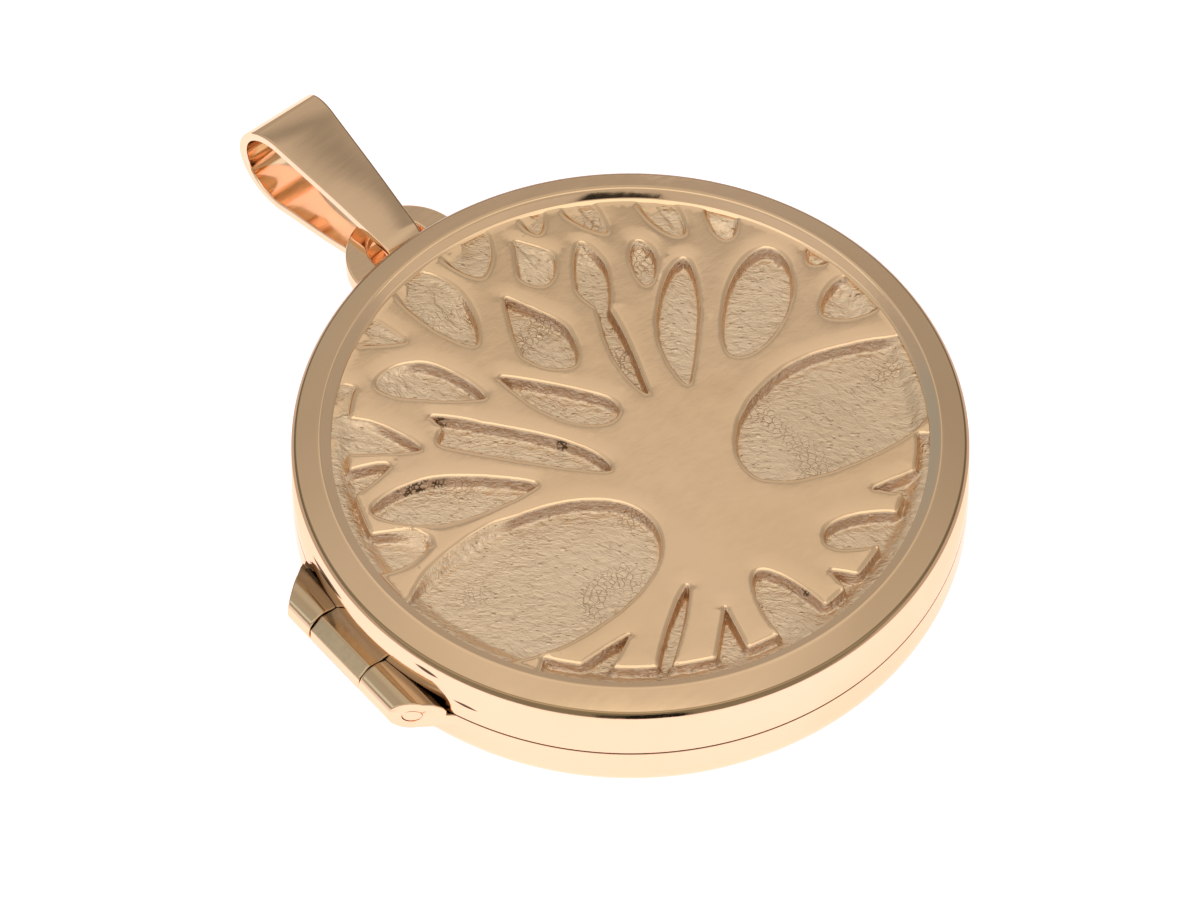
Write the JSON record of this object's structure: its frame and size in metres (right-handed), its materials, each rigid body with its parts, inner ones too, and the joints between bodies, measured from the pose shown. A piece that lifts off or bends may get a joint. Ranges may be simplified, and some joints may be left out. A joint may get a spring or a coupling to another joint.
{
  "type": "hinged locket with a raised tree of life",
  "caption": "Round gold locket lying on its back: raised tree in a bezelled cover, side hinge, flat tab and wide ribbon bail.",
  "frame": {"origin": "centre of the flat back, on the surface that the locket lies on", "axes": "+Z out of the front of the locket, +Y towards the bail, and the hinge on the -X side"},
  "size_m": [0.0293, 0.0382, 0.0061],
  "materials": {
    "polished_gold": "polished rose gold",
    "cast_gold": "satin rose gold relief over a pebbled ground"
  },
  "bodies": {
    "case": {"back_case": "polished_gold", "hinge_pin": "polished_gold"},
    "cover": {"front_cover": "polished_gold", "tree_panel": "cast_gold"},
    "bail": {"bail": "polished_gold"}
  },
  "joints": [
    {"name": "cover_hinge", "type": "hinge", "parent": "case", "child": "cover", "pos_m": [-0.0145, 0, 0.00306], "axis": [0, -1, 0], "range_deg": [0, 160]},
    {"name": "bail_swing", "type": "hinge", "parent": "case", "child": "bail", "pos_m": [0, 0.01695, 0.0025], "axis": [1, 0, 0], "range_deg": [-90, 100]}
  ]
}
